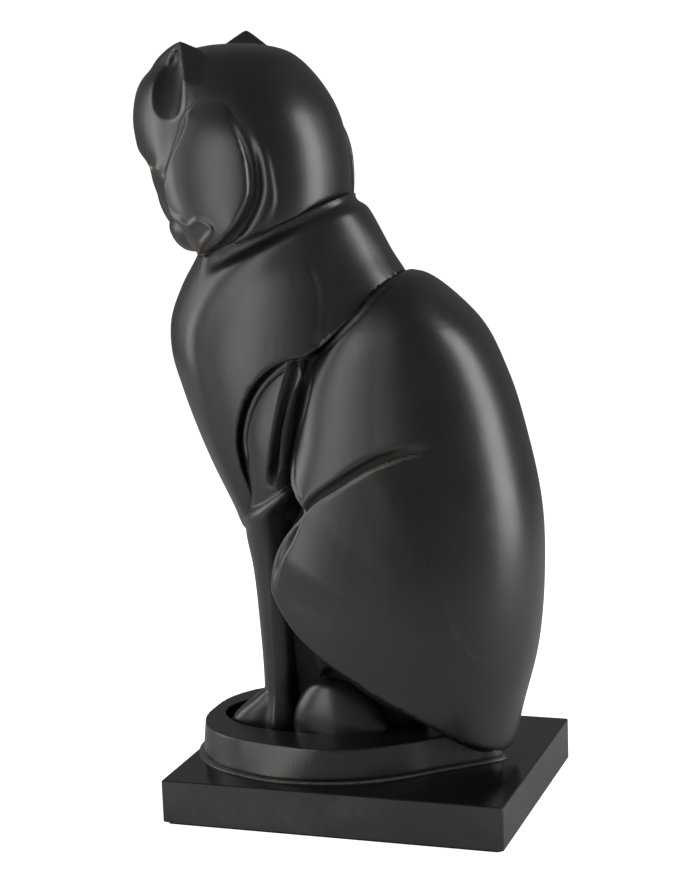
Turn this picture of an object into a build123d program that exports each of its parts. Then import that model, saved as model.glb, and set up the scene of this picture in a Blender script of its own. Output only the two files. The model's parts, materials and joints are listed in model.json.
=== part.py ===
"""Seated cat statuette: hollow bronze castings, chased and joined, on a black stone plinth.

Frame: millimetres, +Z up, origin at the centre of the underside of the base felt.
The body faces -Y and the cat's left side is +X. The head is turned towards -X.
"""
import math
import os
from build123d import *

os.makedirs("parts", exist_ok=True)

# ---- driving dimensions -------------------------------------------------------------
plinth_length = 240.0          # along Y
plinth_width = 190.0           # along X
plinth_height = 30.0
plinth_edge = 0.8              # arris broken off the stone's sharp edges
felt_thickness = 1.5
felt_margin = 2.0              # stone left bare round the felt
felt_corner = 4.0
figure_height = 499.0          # plinth top to the tip of the higher ear

wall = 5.0                     # bronze wall of the hollow castings
sleeve_wall = 3.0              # joint sleeves inside the neck and the chest
sleeve_reach = 14.0            # how far a sleeve stands into each of its two castings
sleeve_gap = 0.3               # clearance between a sleeve and the hole round it
neck_sleeve_radius = 26.0
chest_sleeve_radius = 22.0
floor_height = 17.0            # top of the casting's floor above the plinth
floor_thickness = 6.0
tail_height = 23.0             # flat top of the tail band above the plinth
tail_half_width = 79.0         # outer edge of the tail at the cat's sides
tail_front_reach = 80.0        # outer edge of the tail in front of its widest place
tail_band_side = 36.0          # width of the flat top of the tail at the sides
tail_band_front = 14.0         # and where it crosses in front of the paws
tail_centre = -37.0            # Y of the tail's widest place
tail_root = 97.0               # Y where the tail leaves the rump
tail_root_band = 30.0
floor_gap = 0.2                # between the floor plate and the band round it

head_turn = 23.0               # degrees, towards the cat's right
head_x = -13.0                 # centre of the skull
head_y = -83.0
ear_spread = 36.0              # half the distance between the ear tips

bolt_diameter = 8.0
bolt_clearance = 1.0           # play of the bolt in the stone
head_flats = 13.0              # across the flats of the bolt head
head_thickness = 5.5
washer_diameter = 20.0
washer_thickness = 2.0
counterbore_play = 1.0         # round the washer in its counterbore
counterbore_depth = 12.0
washer_play = 0.6              # of the washer on the bolt
boss_diameter = 20.0
bolt_lead = 0.5                # bolt end kept short of the underside of the floor
bolt_front_y = -66.0           # one bolt in front, between the forepaws
bolt_rear_y = 6.0              # and a pair behind it
bolt_rear_x = 14.0

# ---- derived levels -----------------------------------------------------------------
plinth_top = felt_thickness + plinth_height
unit = figure_height / 499.0   # the figure's stations are drawn for this height
floor_top = plinth_top + floor_height
tail_top = plinth_top + tail_height
side = 200.0                   # wider than the figure: reach of the side profiles


def level(height):
    """Z of a height above the plinth."""
    return plinth_top + height * unit


def on_side(outline):
    """A side-view outline, (y, height) above the plinth, as points on Plane.YZ."""
    return [(y * unit, level(h)) for y, h in outline]


def egg(x, front, back, half_width, inset, power=2.2, count=16):
    """Points round a section whose sides are half_width out, from front to back along Y."""
    middle = (front + back) / 2 * unit
    reach = (back - front) / 2 * unit - inset
    width = half_width * unit - inset
    points = []
    for k in range(count):
        turn = 2 * math.pi * k / count
        c, s = math.cos(turn), math.sin(turn)
        px = math.copysign(abs(c) ** (2 / power), c) * width
        py = math.copysign(abs(s) ** (2 / power), s) * reach
        points.append((x * unit + px, middle + py))
    return points


def form(stations, inset=0.0, turn=0.0, centre=(0.0, 0.0)):
    """A closed form lofted through level sections, each drawn smaller by the inset."""
    cx, cy = centre[0] * unit, centre[1] * unit
    lean = math.radians(-turn)
    x_dir = (math.cos(lean), math.sin(lean), 0)
    last = len(stations) - 1
    with BuildPart() as lofted:
        for k, (height, x, front, back, half_width) in enumerate(stations):
            drop = inset if k == last else 0.0
            with BuildSketch(Plane(origin=(cx, cy, level(height) - drop), x_dir=x_dir)):
                with BuildLine():
                    Spline(*egg(x, front, back, half_width, inset), periodic=True)
                make_face()
        loft()
    return lofted.part


def side_prism(outline, low=-side, high=side, grow=0.0):
    """A side-view outline, grown by a wall or shrunk, carried across from x = low to high."""
    with BuildPart() as prism:
        with BuildSketch(Plane.YZ.offset(low)):
            with BuildLine():
                Polyline(*on_side(outline), close=True)
            make_face()
            if grow:
                offset(amount=grow, kind=Kind.INTERSECTION)
        extrude(amount=high - low)
    return prism.part


def seam_plane(point, angle):
    """The plane of a seam that is seen edge on from the side, through (y, height)."""
    turn = math.radians(angle)
    return Plane(origin=(0, point[0] * unit, level(point[1])), x_dir=(1, 0, 0),
                 z_dir=(0, -math.sin(turn), math.cos(turn)))


def seam_rod(plane, radius):
    """A round rod square to a seam plane, as long as a sleeve is."""
    with BuildPart() as rod:
        with BuildSketch(plane.offset(-sleeve_reach)):
            Circle(radius)
        extrude(amount=2 * sleeve_reach)
    return rod.part


# ---- stations: (height, x, front y, back y, half width) -------------------------------
body_stations = [
    (0, 0, -12, 100.5, 52), (30, 0, -22, 108.5, 62), (80, 0, -36, 123, 72),
    (130, 0, -44, 129, 75), (175, 0, -40, 128, 71), (225, 0, -36, 119.5, 64),
    (268, 0, -24, 106, 57), (305, 0, -4, 86.5, 49), (328, 0, 10, 62, 36), (339, 0, 24, 44, 14),
]
chest_stations = [
    (158, 0, -86, -46, 22), (177, 0, -94, -20, 34), (205, 0, -108, 0, 45),
    (229, 0, -118, 12, 50), (257, 0, -128, 24, 53), (285, 0, -135, 36, 53),
    (305, 0, -134, 44, 51), (330, 0, -124.5, 38, 48), (350, 0, -113, 25, 45),
    (372, -2, -104, 12, 41), (405, -6, -88, -14, 34),
]
head_stations = [
    (350, 0, -44, -10, 22), (366, 0, -53, 50, 45), (388, 0, -62, 84, 56), (415, 0, -74, 86, 60),
    (445, 0, -78, 78, 58), (470, 0, -70, 60, 48), (484, 0, -50, 40, 33), (491, 0, -26, 18, 13),
]
leg_stations = [
    (floor_height / unit, 18, -76, -50, 10.5), (45, 18, -71, -50, 10.5), (95, 18.5, -71.5, -49, 11),
    (135, 19.5, -74, -47, 12), (168, 22, -76, -44, 14), (192, 27, -74, -38, 17),
    (228, 32, -72, -32, 18), (262, 33, -61, -25, 15), (283, 33, -36, -24, 6),
]
paw_stations = [
    (floor_height / unit, 15, -95, -56, 10), (25, 15, -95, -58, 10), (34, 15.5, -88, -60, 9.5),
    (43, 17, -76, -62, 8),
]
ear_stations = [(446, -5, -46, 4, 17), (472, -2, -36, -4, 12), (499, 0, -23, -16, 2.5)]
hind_paw_stations = [
    (floor_height / unit, 24, -42, 14, 12.5), (34, 24, -41, 14, 12.5), (50, 24, -36, 4, 10.5),
    (58, 24, -27, -6, 8), (62, 24, -20, -12, 3),
]
crease = (-20, 285.5)          # where the chest, the body and the upper arm meet
crease_middle = (10, 314.5)    # middle of the seam between chest and body
crease_end = (120, 421.5)      # the seam between chest and body rises to here
crease_angle = math.degrees(math.atan2(crease_end[1] - crease[1], crease_end[0] - crease[0]))
rim = (-48, 368)               # a point of the seam between neck and head
rim_angle = 23.0               # the seam drops towards the throat
body_outline = [
    crease_end, crease, (-22, 267), (-26, 250), (-35, 212), (-33, 198), (-38, 170), (-43.5, 129),
    (-41.5, 122), (-32, 103), (-23, 93.5), (51, 49.5), (91, 24.5), (91, -40), (side, -40),
    (side, 421.5),
]
arm_outline = [
    crease, (-36, 281), (-52.5, 271), (-63, 259), (-69.5, 245), (-73, 228), (-71.5, 207),
    (-66, 187), (-76, 173), (-92, 160), (-92, 120), (-20, 120),
]
arm_inside = 15.0 * unit       # the chest stays whole between the two upper arms

# ---- shared forms -------------------------------------------------------------------
rim_slope = math.tan(math.radians(rim_angle))
rim_low = rim[1] - (rim[0] + side) * rim_slope
rim_high = rim[1] + (side - rim[0]) * rim_slope
head_outline = [(-side, rim_low), (side, rim_high), (side, rim_high + side), (-side, rim_high + side)]
neck_outline = [(-side, rim_low), (side, rim_high), (side, -side), (-side, -side)]

body_form = form(body_stations)
body_core = form(body_stations, wall)
chest_form = form(chest_stations)
chest_core = form(chest_stations, wall)
head_form = form(head_stations, 0.0, head_turn, (head_x, head_y))
head_core = form(head_stations, wall, head_turn, (head_x, head_y))

rim_plane = seam_plane(rim, rim_angle)
crease_plane = seam_plane(crease_middle, crease_angle)
neck_hole = seam_rod(rim_plane, neck_sleeve_radius + sleeve_gap)
chest_hole = seam_rod(crease_plane, chest_sleeve_radius + sleeve_gap)


def tail_plan(height, half_width, front_reach, root):
    """Plan outline of the tail's outer or inner edge, at a height above the plinth."""
    centre = tail_centre * unit
    half_width, front_reach, root = half_width * unit, front_reach * unit, root * unit
    with BuildSketch(Plane.XY.offset(plinth_top + height)) as plan:
        with BuildLine():
            front = EllipticalCenterArc((0, centre), half_width, front_reach, start_angle=180,
                                        arc_size=180)
            left = Spline(front @ 1, (half_width * 0.78, centre + 0.5 * (root - centre)), (0, root),
                          tangents=[(0, 1), (-1, 0)])
            mirror(left, about=Plane.YZ)
        make_face()
    return plan.sketch


def tail_edge(height, inset=0.0):
    """The tail's outer edge, drawn smaller by the inset."""
    return tail_plan(height, tail_half_width - inset, tail_front_reach - inset, tail_root - inset)


def floor_edge(height, inset=0.0):
    """The tail's inner edge, which the floor fills, drawn smaller by the inset."""
    return tail_plan(height, tail_half_width - tail_band_side - inset,
                     tail_front_reach - tail_band_front - inset, tail_root - tail_root_band - inset)


bolt_places = [(x * unit, y * unit) for x, y in ((0, bolt_front_y), (-bolt_rear_x, bolt_rear_y),
                                                 (bolt_rear_x, bolt_rear_y))]

# ---- stone plinth and felt ------------------------------------------------------------
with BuildPart() as plinth:
    with BuildSketch(Plane.XY.offset(felt_thickness)):
        Rectangle(plinth_width, plinth_length)
    extrude(amount=plinth_height)
    chamfer(plinth.edges(), plinth_edge)
    with Locations(*[(x, y, felt_thickness) for x, y in bolt_places]):
        Cylinder((washer_diameter + counterbore_play) / 2, counterbore_depth,
                 align=(Align.CENTER, Align.CENTER, Align.MIN), mode=Mode.SUBTRACT)
        Cylinder((bolt_diameter + bolt_clearance) / 2, plinth_height,
                 align=(Align.CENTER, Align.CENTER, Align.MIN), mode=Mode.SUBTRACT)
plinth.part.label = "plinth"

with BuildPart() as base_felt:
    with BuildSketch():
        RectangleRounded(plinth_width - 2 * felt_margin, plinth_length - 2 * felt_margin,
                         felt_corner)
    extrude(amount=felt_thickness)
base_felt.part.label = "base_felt"

# ---- tail band and the floor inside it -------------------------------------------------
with BuildPart() as tail_casting:
    add(tail_edge(0))
    extrude(amount=tail_height)
    add(floor_edge(0))
    extrude(amount=tail_height, mode=Mode.SUBTRACT)
tail_casting.part.label = "tail_casting"

with BuildPart() as floor_casting:
    add(floor_edge(0, floor_gap))
    extrude(amount=floor_height)
    add(floor_edge(0, floor_gap + wall))
    extrude(amount=floor_height - floor_thickness, mode=Mode.SUBTRACT)
floor_casting.part.label = "floor_casting"

with BuildPart() as mounting_bosses:
    with Locations(*[(x, y, plinth_top) for x, y in bolt_places]):
        Cylinder(boss_diameter / 2, floor_height - floor_thickness,
                 align=(Align.CENTER, Align.CENTER, Align.MIN))
        Cylinder(bolt_diameter / 2, floor_height - floor_thickness,
                 align=(Align.CENTER, Align.CENTER, Align.MIN), mode=Mode.SUBTRACT)
mounting_bosses.part.label = "mounting_bosses"

# ---- body: back and haunches --------------------------------------------------------------
body_region = side_prism(body_outline)
with BuildPart() as base_envelope:
    add(tail_edge(0))
    extrude(amount=tail_height)
    add(floor_edge(floor_height))
    extrude(amount=tail_height, mode=Mode.SUBTRACT)

with BuildPart() as body_hollow:
    add(body_core)
    add(side_prism(body_outline, grow=-wall), mode=Mode.INTERSECT)
    add(chest_hole)

with BuildPart() as body_casting:
    add(body_form)
    add(body_region, mode=Mode.INTERSECT)
    add(body_hollow.part, mode=Mode.SUBTRACT)
    add(base_envelope.part, mode=Mode.SUBTRACT)
body_casting.part.label = "body_casting"

# ---- chest and neck ------------------------------------------------------------------------
with BuildPart() as chest_solid:
    add(chest_form)
    add(side_prism(neck_outline), mode=Mode.INTERSECT)
    add(body_region, mode=Mode.SUBTRACT)
    add(side_prism(arm_outline, arm_inside, side), mode=Mode.SUBTRACT)
    add(side_prism(arm_outline, -side, -arm_inside), mode=Mode.SUBTRACT)

with BuildPart() as chest_hollow:
    add(chest_core)
    add(side_prism(neck_outline, grow=-wall), mode=Mode.INTERSECT)
    add(side_prism(body_outline, grow=wall), mode=Mode.SUBTRACT)
    add(side_prism(arm_outline, arm_inside - wall, side, wall), mode=Mode.SUBTRACT)
    add(side_prism(arm_outline, -side, wall - arm_inside, wall), mode=Mode.SUBTRACT)
    add(chest_hole)
    add(neck_hole)

with BuildPart() as chest_casting:
    add(chest_solid.part)
    add(chest_hollow.part, mode=Mode.SUBTRACT)
chest_casting.part.label = "chest_casting"

# ---- head -----------------------------------------------------------------------------------
with BuildPart() as head_hollow:
    add(head_core)
    add(side_prism(head_outline, grow=-wall), mode=Mode.INTERSECT)
    add(neck_hole)

with BuildPart() as head_casting:
    add(head_form)
    for x in (-ear_spread, ear_spread):
        add(form([(h, x + math.copysign(dx, -x), front, back, w)
                  for h, dx, front, back, w in ear_stations], 0.0, head_turn, (head_x, head_y)))
    add(side_prism(head_outline), mode=Mode.INTERSECT)
    add(head_hollow.part, mode=Mode.SUBTRACT)
head_casting.part.label = "head_casting"

# ---- forelegs and paws -----------------------------------------------------------------------
with BuildPart() as foreleg_form:
    add(form(leg_stations))
    add(form(paw_stations))

with BuildPart() as foreleg_left:
    add(foreleg_form.part)
    add(chest_solid.part, mode=Mode.SUBTRACT)
    add(body_region, mode=Mode.SUBTRACT)
foreleg_left.part.label = "foreleg_left"

with BuildPart() as foreleg_right:
    mirror(foreleg_form.part, about=Plane.YZ)
    add(chest_solid.part, mode=Mode.SUBTRACT)
    add(body_region, mode=Mode.SUBTRACT)
foreleg_right.part.label = "foreleg_right"

with BuildPart() as hind_paw_left:
    add(form(hind_paw_stations))
hind_paw_left.part.label = "hind_paw_left"

with BuildPart() as hind_paw_right:
    mirror(hind_paw_left.part, about=Plane.YZ)
hind_paw_right.part.label = "hind_paw_right"

# ---- joint sleeves ------------------------------------------------------------------------------
with BuildPart() as neck_sleeve:
    add(seam_rod(rim_plane, neck_sleeve_radius))
    add(seam_rod(rim_plane, neck_sleeve_radius - sleeve_wall), mode=Mode.SUBTRACT)
neck_sleeve.part.label = "neck_sleeve"

with BuildPart() as chest_sleeve:
    add(seam_rod(crease_plane, chest_sleeve_radius))
    add(seam_rod(crease_plane, chest_sleeve_radius - sleeve_wall), mode=Mode.SUBTRACT)
chest_sleeve.part.label = "chest_sleeve"

# ---- bolts and washers --------------------------------------------------------------------------
counterbore_roof = felt_thickness + counterbore_depth
shank_top = floor_top - floor_thickness - bolt_lead

with BuildPart() as bolt_washers:
    with Locations(*[(x, y, counterbore_roof - washer_thickness) for x, y in bolt_places]):
        Cylinder(washer_diameter / 2, washer_thickness,
                 align=(Align.CENTER, Align.CENTER, Align.MIN))
        Cylinder((bolt_diameter + washer_play) / 2, washer_thickness,
                 align=(Align.CENTER, Align.CENTER, Align.MIN), mode=Mode.SUBTRACT)
bolt_washers.part.label = "bolt_washers"

with BuildPart() as mounting_bolts:
    with BuildSketch(Plane.XY.offset(counterbore_roof - washer_thickness - head_thickness)):
        with Locations(*bolt_places):
            RegularPolygon(head_flats / 2, 6, major_radius=False)
    extrude(amount=head_thickness)
    with BuildSketch(Plane.XY.offset(counterbore_roof - washer_thickness)):
        with Locations(*bolt_places):
            Circle(bolt_diameter / 2)
    extrude(amount=shank_top - counterbore_roof + washer_thickness)
mounting_bolts.part.label = "mounting_bolts"

nodes = (plinth, base_felt, tail_casting, floor_casting, mounting_bosses, body_casting,
         chest_casting, head_casting, foreleg_left, foreleg_right, hind_paw_left, hind_paw_right,
         neck_sleeve, chest_sleeve, mounting_bolts, bolt_washers)
for node in nodes:
    export_step(node.part, f"parts/{node.part.label}.step")
    print(node.part.label, len(node.part.solids()), node.part.is_valid, round(node.part.volume))
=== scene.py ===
"""Looks of a seated bronze cat on a black stone plinth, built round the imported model.

Every sculpted casting is worked the way a modeller works clay: plain forms are fused into one
skin, the skin is cut back to the seams, smoothed, and then creases, ridges and beads are drawn
into it with strokes. Lengths are in millimetres above the plinth until a piece is finished.
"""

import json
import logging
import math
from dataclasses import dataclass, replace
from enum import Enum
from typing import Callable, Iterable, Sequence

import bmesh
import bpy
import numpy as np
from mathutils import Matrix, Vector

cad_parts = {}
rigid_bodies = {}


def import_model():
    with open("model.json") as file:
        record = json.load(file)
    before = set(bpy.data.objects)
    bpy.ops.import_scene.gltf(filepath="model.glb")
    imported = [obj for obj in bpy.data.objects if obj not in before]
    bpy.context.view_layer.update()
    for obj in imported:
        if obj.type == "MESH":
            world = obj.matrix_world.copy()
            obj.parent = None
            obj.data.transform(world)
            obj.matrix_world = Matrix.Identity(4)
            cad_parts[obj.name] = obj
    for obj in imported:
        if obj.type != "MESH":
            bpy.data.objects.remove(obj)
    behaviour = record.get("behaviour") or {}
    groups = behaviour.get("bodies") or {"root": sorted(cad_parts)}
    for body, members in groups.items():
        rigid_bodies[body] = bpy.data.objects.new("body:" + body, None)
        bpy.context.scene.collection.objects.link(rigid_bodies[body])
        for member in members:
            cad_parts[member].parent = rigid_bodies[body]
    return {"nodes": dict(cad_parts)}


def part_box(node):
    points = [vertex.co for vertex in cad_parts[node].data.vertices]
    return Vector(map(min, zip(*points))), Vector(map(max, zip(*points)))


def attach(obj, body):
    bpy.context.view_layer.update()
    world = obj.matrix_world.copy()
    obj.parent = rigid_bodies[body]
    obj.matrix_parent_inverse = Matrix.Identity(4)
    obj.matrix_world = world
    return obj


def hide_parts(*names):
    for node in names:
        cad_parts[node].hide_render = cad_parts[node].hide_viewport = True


LOG = logging.getLogger("cat")
MM = 0.001
BODY = "root"
Point = tuple[float, float]
Colour = tuple[float, float, float]


class Grain(Enum):
    """How fine a skin is: the edge of its quads, in millimetres."""

    LARGE = 1.5
    MEDIUM = 1.18
    CLOSE = 1.06
    FINE = 0.85


# ---- forms ---------------------------------------------------------------------------


@dataclass(frozen=True)
class Ring:
    """One section of a form: an egg outline lying level, or leaning if lean isn't zero."""

    height: float
    front: float
    back: float
    half_width: float
    shift: float = 0.0
    front_power: float = 2.2
    back_power: float = 2.2
    lean: float = 0.0
    widest: float = 0.5


def hermite(knots: np.ndarray, values: np.ndarray, at: np.ndarray) -> np.ndarray:
    """Smooth interpolation through values at knots.

    Args:
        knots: rising parameters.
        values: one row per knot.
        at: parameters to read.

    Returns:
        One row of values per parameter.
    """
    slope = np.gradient(values, knots, axis=0)
    index = np.clip(np.searchsorted(knots, at, side="right") - 1, 0, len(knots) - 2)
    span = (knots[index + 1] - knots[index])[:, None]
    t = ((at - knots[index]) / span[:, 0])[:, None]
    low, high = values[index], values[index + 1]
    return (
        (2 * t**3 - 3 * t**2 + 1) * low
        + (t**3 - 2 * t**2 + t) * span * slope[index]
        + (3 * t**2 - 2 * t**3) * high
        + (t**3 - t**2) * span * slope[index + 1]
    )


def signed_power(value: np.ndarray, power: np.ndarray) -> np.ndarray:
    """The superellipse's power of a cosine or a sine, with its sign kept."""
    return np.sign(value) * np.abs(value) ** (2.0 / power)


@dataclass(frozen=True)
class Form:
    """A closed form through rings, from its foot to its top.

    The first and last rings are the poles. turn and centre place the form's own axes: it is
    turned about the vertical, towards the cat's right, round the centre.
    """

    rings: tuple[Ring, ...]
    turn: float = 0.0
    centre: tuple[float, float, float] = (0.0, 0.0, 0.0)
    mirror: bool = False
    columns: int = 96
    rows: int = 72

    def table(self) -> tuple[np.ndarray, np.ndarray]:
        """The rings as numbers.

        Returns:
            The knots along the form, from 0 to 1, and the rings' values as rows.
        """
        rows = np.array(
            [
                (r.height, r.front, r.back, r.half_width, r.shift, r.front_power, r.back_power,
                 r.lean, r.widest)
                for r in self.rings
            ]
        )
        size = np.maximum((rows[:, 2] - rows[:, 1]) / 2, rows[:, 3])
        steps = np.hypot(np.diff(rows[:, 0]), np.diff(size))
        knots = np.concatenate([[0.0], np.cumsum(steps)])
        return knots / knots[-1], rows

    def place(self, along: np.ndarray, angle: np.ndarray) -> np.ndarray:
        """Points of the surface.

        Args:
            along: 0 at the foot to 1 at the top.
            angle: angle round the form, 0 at the cat's left and a right angle at its back.

        Returns:
            One point per row, in millimetres.
        """
        knots, rows = self.table()
        values = hermite(knots, rows, along).T
        height, front, back, width, shift, p_front, p_back, lean, widest = values
        width, back = np.maximum(width, 0.0), np.maximum(back, front)
        c, s = np.cos(angle), np.sin(angle)
        power = np.where(s < 0, p_front, p_back)
        x = shift + width * signed_power(c, power)
        share = np.where(s < 0, widest, 1 - widest)
        reach = (back - front) * share * signed_power(s, power)
        y = front + (back - front) * widest + reach
        return self.to_world(np.stack([x, y, height + lean * reach], axis=1))

    def to_world(self, points: np.ndarray) -> np.ndarray:
        """Turns points of the form's own axes into the statuette's.

        Args:
            points: points in the form's axes, one per row.

        Returns:
            The same points in the statuette's axes.
        """
        a = math.radians(self.turn)
        x = self.centre[0] + points[:, 0] * math.cos(a) + points[:, 1] * math.sin(a)
        y = self.centre[1] - points[:, 0] * math.sin(a) + points[:, 1] * math.cos(a)
        x = -x if self.mirror else x
        return np.stack([x, y, self.centre[2] + points[:, 2]], axis=1)

    def add_to(self, bm: bmesh.types.BMesh) -> None:
        """Adds the form to a mesh as a closed skin, starting from a sphere.

        Args:
            bm: the mesh that takes it.
        """
        made = bmesh.ops.create_uvsphere(
            bm, u_segments=self.columns, v_segments=self.rows, radius=1.0
        )
        verts = made["verts"]
        ball = np.array([v.co for v in verts])
        along = 1.0 - np.arccos(np.clip(ball[:, 2], -1, 1)) / math.pi
        placed = self.place(along, np.arctan2(ball[:, 1], ball[:, 0]))
        for vert, point in zip(verts, placed):
            vert.co = point
        if self.mirror:
            faces = list({f for v in verts for f in v.link_faces})
            bmesh.ops.reverse_faces(bm, faces=faces)


def rings(*rows: Sequence[float], **same: float) -> tuple[Ring, ...]:
    """Rings of a form.

    Args:
        rows: a ring's values in the order of its fields, as many as it needs.
        same: fields that are the same in every ring.

    Returns:
        The rings.
    """
    return tuple(Ring(*row, **same) for row in rows)


TORSO = Form(
    rings(
        (-8, 43, 43, 0, 0, 3), (-7, -6, 99, 50, 0, 3), (0, -12, 101, 53, 0, 3),
        (30, -24, 107.5, 62, 0, 3.2), (80, -48, 120.5, 72, 0, 3.6), (130, -60, 125.5, 76, 0, 4.0),
        (175, -52, 125, 73, 0, 3.7), (225, -39, 116, 66, 0, 3.3), (268, -30, 103.5, 59, 0, 3.3),
        (305, -8, 84, 51, 0, 3.3), (326, 8, 62, 38, 0, 3), (336, 20, 48, 20, 0, 3),
        (339, 34, 34, 0, 0, 3),
    )
)
HOCKS = Form(
    rings(
        (-8, 30, 30, 0), (-7, -24, 88, 34), (0, -26, 90, 38), (50, -34, 98, 42),
        (100, -38, 100, 45), (150, -32, 95, 44), (185, 0, 60, 30), (190, 30, 30, 0),
        front_power=3.5,
    )
)
BELLY = Form(
    rings(
        (14, -10, -10, 0), (15, -50, 40, 20), (50, -54, 40, 24), (100, -60, 40, 29),
        (150, -62, 40, 33), (185, -56, 40, 34), (198, -10, -10, 0),
        front_power=2.6,
    )
)
CHEST = Form(
    rings(
        (155, -70, -70, 0), (157, -84, -58, 18), (177, -92.5, -25, 35), (205, -106, 0, 46),
        (229, -116, 14, 51), (257, -126, 26, 54), (285, -133.5, 36, 55), (305, -133, 42, 54),
        (330, -123, 38, 51), (350, -111, 26, 47), (368, -103, 16, 43.5), (384, -92, 6, 41),
        (400, -80, -8, 34), (407, -60, -26, 18), (409, -44, -44, 0),
        front_power=2.0,
    )
)
HEAD_TURN = 23.0
HEAD_CENTRE = (-13.0, -83.0, 0.0)
SKULL = Form(
    rings(
        (318, 20, 20, 0, 0, 2), (319, 6, 48, 36, 0, 2), (340, 0, 67, 46, 0, 1.8),
        (353, -22, 71, 51, 0, 1.6), (366, -42, 75, 57, 0, 1.6), (380, -58, 78, 60.5, 0, 1.7),
        (398, -75, 79.5, 61.5, 0, 1.55), (412, -77, 79, 61.5, 0, 1.65), (424, -76, 77.5, 60.5, 0, 2.1),
        (445, -75, 71, 58, 0, 2.6), (470, -69, 54, 48, 0, 2.6), (484, -49, 38.5, 33, 0, 2.4),
        (490, -26, 17, 16, 0, 2.2), (491.5, -4, -4, 0, 0, 2.2),
    ),
    HEAD_TURN,
    HEAD_CENTRE,
)
MUZZLE = Form(
    rings(
        (347, -46, -46, 0), (349.5, -57, -30, 10), (357, -64, -20, 17), (367, -67, -20, 19),
        (376, -64, -20, 14), (381, -50, -50, 0),
        front_power=2.2,
    ),
    HEAD_TURN,
    HEAD_CENTRE,
)
NOSE = Form(
    rings(
        (367, -58, -58, 0), (369, -76, -20, 6), (377, -80.5, -20, 9.5), (392, -85.5, -20, 9.5),
        (410, -88, -20, 10), (430, -83, -20, 14), (446, -77, -20, 18), (460, -55, -55, 0),
        front_power=2.0,
    ),
    HEAD_TURN,
    HEAD_CENTRE,
)
EAR_POINTS = (
    (36, -18.5, 495), (26, -40, 490), (31, -48, 482), (33, -54, 473.5), (32, -2, 488.5),
    (59.5, 8, 443), (52.5, 22, 450), (44, 29, 463.5), (52.5, 1, 468), (24, -62, 462), (30, -60, 450),
    (20, -20, 478), (22, 20, 462), (30, 0, 440), (46, -40, 446),
)
FAR_EAR = (0.0, -7.0, 6.0)
EAR_HOLLOW = (
    (434, 62, -9, 0, 0), (440, 62, -10, 2.5, 10), (447, 60, -13, 5, 14), (459, 55, -16, 8.5, 14.5),
    (473, 47.5, -19, 10, 13.5), (481, 41.5, -20.5, 7.5, 8.5), (486, 38, -21, 3.6, 4.6),
    (489, 36.5, -21, 0, 0),
)


def ear_shift(side: int, height: float) -> np.ndarray:
    """How far an ear's tip leans forward and up; only the cat's right one does.

    Args:
        side: 1 for the cat's left ear, -1 for its right.
        height: height of the point.

    Returns:
        The shift in the head's own axes.
    """
    return np.array(FAR_EAR) * (0.0 if side > 0 else ramp(height, 490.5, 494.5))


def ear(bm: bmesh.types.BMesh, side: int) -> None:
    """Adds an ear as a faceted wedge.

    Args:
        bm: the mesh that takes it.
        side: 1 for the cat's left ear, -1 for its right.
    """
    local = np.array([(side * u, v, h) + ear_shift(side, h) for u, v, h in EAR_POINTS])
    verts = [bm.verts.new(p) for p in SKULL.to_world(local)]
    hull = bmesh.ops.convex_hull(bm, input=verts)
    spare = [g for g in hull["geom_interior"] if isinstance(g, bmesh.types.BMVert)]
    bmesh.ops.delete(bm, geom=spare, context="VERTS")


def ear_hollow(side: int) -> bpy.types.Mesh:
    """The rounded spindle that hollows an ear's front.

    Args:
        side: 1 for the cat's left ear, -1 for its right.

    Returns:
        The spindle as a closed mesh.
    """
    rows = []
    for h, u, v, depth, reach in EAR_HOLLOW:
        shift = ear_shift(side, h)
        rows.append(Ring(h + shift[2], v + shift[1] - reach, v + shift[1] + reach, depth, side * u))
    bm = bmesh.new()
    Form(tuple(rows), HEAD_TURN, HEAD_CENTRE, columns=48, rows=48).add_to(bm)
    return mesh_from(bm, "hollow")


def arm(mirror: bool) -> Form:
    """The upper arm, from the elbow's cuff to the point under the shoulder.

    Args:
        mirror: whether it is the one on the cat's right.

    Returns:
        The form.
    """
    rows = [
        Ring(168, -60, -60, 0, 26), Ring(170, -72, -36, 12, 26), Ring(190, -72, -30, 18, 28, widest=0.6),
        Ring(212, -75, -28, 21, 29, widest=0.68), Ring(235, -77, -24, 22, 30, widest=0.7),
        Ring(258, -70, -18, 21, 32, widest=0.75), Ring(275, -58, -14, 19, 33, widest=0.8),
        Ring(286, -40, -14, 17, 34), Ring(290, -26, -26, 0, 34),
    ]
    rows = [replace(r, front_power=2.0, back_power=1.7) for r in rows]
    return Form(tuple(rows), mirror=mirror)


def foreleg(mirror: bool) -> Form:
    """The faceted foreleg, from the floor to its cuff under the elbow.

    Args:
        mirror: whether it is the one on the cat's right.

    Returns:
        The form.
    """
    rows = rings(
        (14, -60, -60, 0, 18), (15, -72, -49, 11, 18), (45, -71, -48.5, 11, 18),
        (95, -72.5, -46, 12.5, 18.5), (135, -75, -43, 14.5, 20), (160, -78, -39, 17.5, 22.5),
        (176, -76, -35, 21, 26), (186, -62, -30, 21.5, 29), (196, -44, -28, 15, 33),
        (201, -34, -34, 0, 34),
        front_power=1.45, back_power=1.5,
    )
    return Form(rows, mirror=mirror)


def forepaw(mirror: bool) -> Form:
    """The long wedge of a forepaw.

    Args:
        mirror: whether it is the one on the cat's right.

    Returns:
        The form.
    """
    rows = rings(
        (15, -76, -76, 0, 16), (16, -96, -55, 11.5, 16), (22, -96.5, -54, 12, 16),
        (30, -90, -54, 11.5, 16.5), (38, -80, -54, 10.5, 17), (46, -70, -56, 8, 17.5),
        (50, -62, -62, 0, 18),
        front_power=2.0, back_power=2.4,
    )
    return Form(rows, mirror=mirror)


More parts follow.
